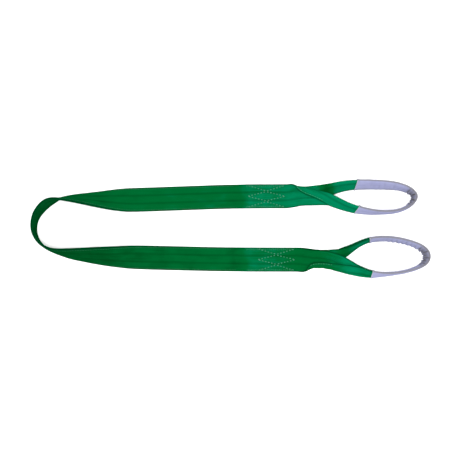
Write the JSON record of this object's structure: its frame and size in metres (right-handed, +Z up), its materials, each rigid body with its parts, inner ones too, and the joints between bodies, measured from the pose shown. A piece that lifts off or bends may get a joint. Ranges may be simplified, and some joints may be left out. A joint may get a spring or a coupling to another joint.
{
  "type": "flat web lifting sling",
  "caption": "Flat two-ply polyester web sling with a folded, sleeved eye at each end, laid in a U; the legs swing open at the bight and the eyes fold over.",
  "frame": {"origin": "on the floor, under the middle of the sling's bounding box as it lies in a U", "axes": "+X along the legs from the bight towards the eyes, +Y from leg B to leg A, +Z up"},
  "size_m": [0.9866, 0.2497, 0.0603],
  "materials": {
    "webbing": "green woven polyester webbing with a soft sheen and two darker marker lines",
    "sewing_thread": "twisted polyester thread, slightly lighter than the webbing",
    "sleeve_cloth": "grey-lavender tubular wear sleeve, closely woven, matte",
    "sleeve_thread": "grey felled seam of the sleeve"
  },
  "bodies": {
    "bight": {"bight_webbing": "webbing", "bight_back_ply": "webbing", "bight_ply_seams": "sewing_thread"},
    "leg_a": {"leg_a_webbing": "webbing", "leg_a_back_ply": "webbing", "leg_a_tail": "webbing", "leg_a_load_seam": "sewing_thread", "leg_a_ply_seams": "sewing_thread"},
    "leg_b": {"leg_b_webbing": "webbing", "leg_b_back_ply": "webbing", "leg_b_tail": "webbing", "leg_b_load_seam": "sewing_thread", "leg_b_ply_seams": "sewing_thread"},
    "eye_a": {"eye_a_webbing": "webbing", "eye_a_sleeve": "sleeve_cloth", "eye_a_sleeve_seam": "sleeve_thread", "eye_a_throat_seam": "sewing_thread"},
    "eye_b": {"eye_b_webbing": "webbing", "eye_b_sleeve": "sleeve_cloth", "eye_b_sleeve_seam": "sleeve_thread", "eye_b_throat_seam": "sewing_thread"}
  },
  "joints": [
    {"name": "leg_a_swing", "type": "hinge", "parent": "bight", "child": "leg_a", "pos_m": [-0.47722, 0.05605, 0.03007], "axis": [0, 0, 1], "range_deg": [-1, 90]},
    {"name": "leg_b_swing", "type": "hinge", "parent": "bight", "child": "leg_b", "pos_m": [-0.47145, -0.04764, 0.03016], "axis": [0, 0, -1], "range_deg": [-1, 90]},
    {"name": "eye_a_fold", "type": "hinge", "parent": "leg_a", "child": "eye_a", "pos_m": [0.13675, 0.08058, 0.0096], "axis": [0, -1, 0], "range_deg": [0, 150]},
    {"name": "eye_b_fold", "type": "hinge", "parent": "leg_b", "child": "eye_b", "pos_m": [0.16175, -0.07742, 0.0096], "axis": [0, -1, 0], "range_deg": [0, 150]}
  ]
}
